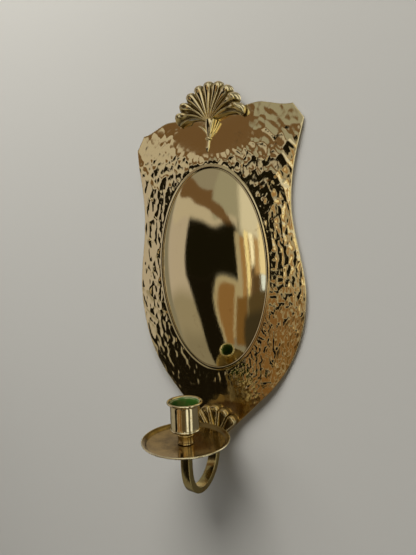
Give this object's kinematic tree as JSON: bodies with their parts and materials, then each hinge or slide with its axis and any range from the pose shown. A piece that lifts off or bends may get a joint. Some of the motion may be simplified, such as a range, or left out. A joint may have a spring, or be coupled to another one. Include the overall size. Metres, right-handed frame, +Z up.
{
  "type": "wall sconce candle holder",
  "caption": "Brass wall sconce: hammered back plate with an oval boss and cast shells, and a strap arm with drip pan, neck and candle cup.",
  "frame": {"origin": "where the wall hook bears in the keyhole of the hanger strap: on the wall plane, on the plate's centre line", "axes": "+Z up, -Y out from the wall, +X to the viewer's right"},
  "size_m": [0.182, 0.091, 0.3634],
  "materials": {
    "hammered_brass": "polished, planished with a hammer outside a mirror-bright oval boss",
    "cast_brass": "cast and polished, darker in the grooves",
    "strap_brass": "drawn strap, polished, slightly tarnished",
    "pan_brass": "spun sheet, polished, with brown tarnish",
    "turned_brass": "turned and polished; the inside of the cup is green with verdigris",
    "dull_brass": "unpolished back and hidden hardware"
  },
  "bodies": {
    "bracket": {"arm": "strap_brass", "arm_rivet_lower": "dull_brass", "arm_rivet_upper": "dull_brass", "arm_stud": "dull_brass", "back_plate": "hammered_brass", "hanger": "dull_brass", "lower_shell": "cast_brass", "lower_shell_rivet_left": "dull_brass", "lower_shell_rivet_right": "dull_brass", "pan_seat": "dull_brass", "upper_shell": "cast_brass", "upper_shell_rivet_bottom": "dull_brass", "upper_shell_rivet_top": "dull_brass"},
    "pan": {"drip_pan": "pan_brass"},
    "neck": {"cup_neck": "turned_brass"},
    "cup": {"candle_cup": "turned_brass"}
  },
  "joints": [
    {"name": "pan_turn", "type": "hinge", "parent": "bracket", "child": "pan", "pos_m": [0, -0.053, -0.2577], "axis": [0, 0, 1], "continuous": true},
    {"name": "neck_climb", "type": "slide", "parent": "bracket", "child": "neck", "axis": [0, 0, 1], "range_m": [0, 0.005]},
    {"name": "cup_unscrew", "type": "hinge", "parent": "neck", "child": "cup", "pos_m": [0, -0.053, -0.2441], "axis": [0, 0, 1], "range_deg": [0, 2160]}
  ],
  "couplings": [
    {"joint": "neck_climb", "follows": "cup_unscrew", "m_per_rad": 0.00012732}
  ]
}
